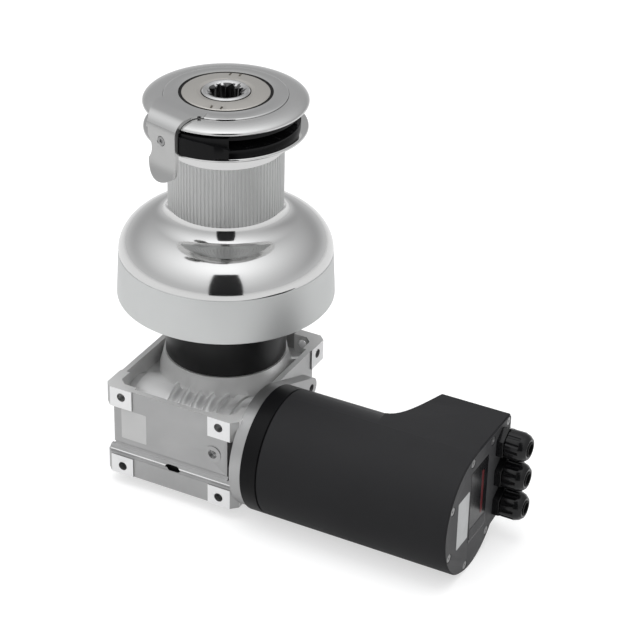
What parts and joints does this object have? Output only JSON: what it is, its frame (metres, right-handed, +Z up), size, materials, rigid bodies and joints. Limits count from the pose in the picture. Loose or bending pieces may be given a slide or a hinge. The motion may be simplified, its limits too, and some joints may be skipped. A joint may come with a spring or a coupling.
{
  "type": "electric sailboat winch",
  "caption": "Self-tailing winch drum on a deck base, driven through a black column by a worm gearbox and an electric motor with a controller box and cable glands.",
  "frame": {"origin": "on the drum axis, in the deck plane under the base flange", "axes": "+Z up along the drum axis, +X along the motor axis towards its cable glands, +Y away from the motor side of the drum axis"},
  "size_m": [0.3199, 0.1698, 0.2939],
  "materials": {
    "polished_steel": "polished",
    "satin_steel": "satin",
    "grip_steel": "fine ribs, satin",
    "cap_steel": "warm satin",
    "bright_steel": "ground",
    "cast_aluminium": "as cast, machined pads",
    "winch_casting": "hard anodised",
    "black_anodised": "satin black",
    "motor_black": "fine satin black coat",
    "plate_grey": "dark satin",
    "black_plastic": "smooth",
    "gland_nylon": "moulded",
    "seal_rubber": "matt",
    "white_nylon": "moulded",
    "bronze": "machined",
    "gear_steel": "machined, oiled",
    "iron": "machined",
    "copper": "lacquered wire",
    "magnet": "ferrite",
    "board_green": "laminate",
    "gasket": "fibre"
  },
  "bodies": {
    "frame": {"winch_base": "winch_casting", "centre_stem": "winch_casting", "stem_bushes": "bronze", "thrust_washer": "white_nylon", "idler_pin": "bright_steel", "bearing_spacer": "white_nylon", "self_tailing_arm": "polished_steel", "line_stripper": "black_plastic", "arm_screw": "bright_steel", "top_cap": "cap_steel", "top_seal": "seal_rubber", "spacer_column": "black_anodised", "spacer_studs": "bright_steel", "gearbox_housing": "cast_aluminium", "gearbox_cover": "cast_aluminium", "cover_screws": "bright_steel", "cover_gasket": "gasket", "oil_plug": "bright_steel", "output_bearings": "bright_steel", "output_seal": "seal_rubber", "worm_bearings": "bright_steel", "worm_seal": "seal_rubber", "worm_end_cap": "seal_rubber", "motor_bell": "black_anodised", "bell_bolts": "bright_steel", "motor_case": "motor_black", "motor_magnets": "magnet", "brush_holder": "white_nylon", "motor_bearings": "bright_steel", "rear_bearing_plate": "black_anodised", "controller_board": "board_green", "end_plate": "plate_grey", "end_plate_screws": "bright_steel", "gland_bodies": "gland_nylon", "gland_caps": "gland_nylon", "gland_seals": "seal_rubber"},
    "drum": {"drum": "grip_steel", "drum_skirt": "polished_steel", "ring_gear": "gear_steel", "ring_gear_screws": "bright_steel", "lower_jaw_flange": "satin_steel", "lower_jaw_ring": "black_plastic", "crown": "satin_steel", "crown_screws": "bright_steel", "jaw_springs": "bright_steel"},
    "upper_jaw": {"upper_jaw_ring": "black_plastic"},
    "spindle": {"drive_spindle": "bright_steel", "coupling_sleeve": "gear_steel", "drive_shaft": "bright_steel", "shaft_key": "bright_steel", "wheel_hub": "iron", "worm_wheel": "bronze"},
    "idler": {"idler_gear": "gear_steel"},
    "lower_bearing": {"lower_roller_bearing": "bright_steel"},
    "upper_bearing": {"upper_roller_bearing": "bright_steel"},
    "worm": {"worm_shaft": "gear_steel", "armature_shaft": "bright_steel", "armature_core": "iron", "armature_windings": "copper", "commutator": "copper"}
  },
  "joints": [
    {"name": "worm_spin", "type": "hinge", "parent": "frame", "child": "worm", "pos_m": [0, -0.045, -0.08795], "axis": [1, 0, 0], "continuous": true},
    {"name": "drum_spin", "type": "hinge", "parent": "frame", "child": "drum", "pos_m": [0, 0, 0], "axis": [0, 0, 1], "continuous": true},
    {"name": "spindle_spin", "type": "hinge", "parent": "frame", "child": "spindle", "pos_m": [0, 0, 0], "axis": [0, 0, 1], "continuous": true},
    {"name": "idler_spin", "type": "hinge", "parent": "frame", "child": "idler", "pos_m": [0.032, 0, 0], "axis": [0, 0, 1], "continuous": true},
    {"name": "lower_bearing_spin", "type": "hinge", "parent": "frame", "child": "lower_bearing", "pos_m": [0, 0, 0], "axis": [0, 0, 1], "continuous": true},
    {"name": "upper_bearing_spin", "type": "hinge", "parent": "frame", "child": "upper_bearing", "pos_m": [0, 0, 0], "axis": [0, 0, 1], "continuous": true},
    {"name": "jaw_open", "type": "slide", "parent": "drum", "child": "upper_jaw", "axis": [0, 0, 1], "range_m": [0, 0.002], "stiffness_N_per_m": 3000, "springref_m": -0.001, "deforming": ["jaw_springs"]}
  ],
  "couplings": [
    {"joint": "drum_spin", "follows": "worm_spin", "ratio": 0.0175},
    {"joint": "spindle_spin", "follows": "worm_spin", "ratio": -0.0625},
    {"joint": "idler_spin", "follows": "worm_spin", "ratio": 0.048611},
    {"joint": "lower_bearing_spin", "follows": "worm_spin", "ratio": 0.010096},
    {"joint": "upper_bearing_spin", "follows": "worm_spin", "ratio": 0.010096}
  ]
}
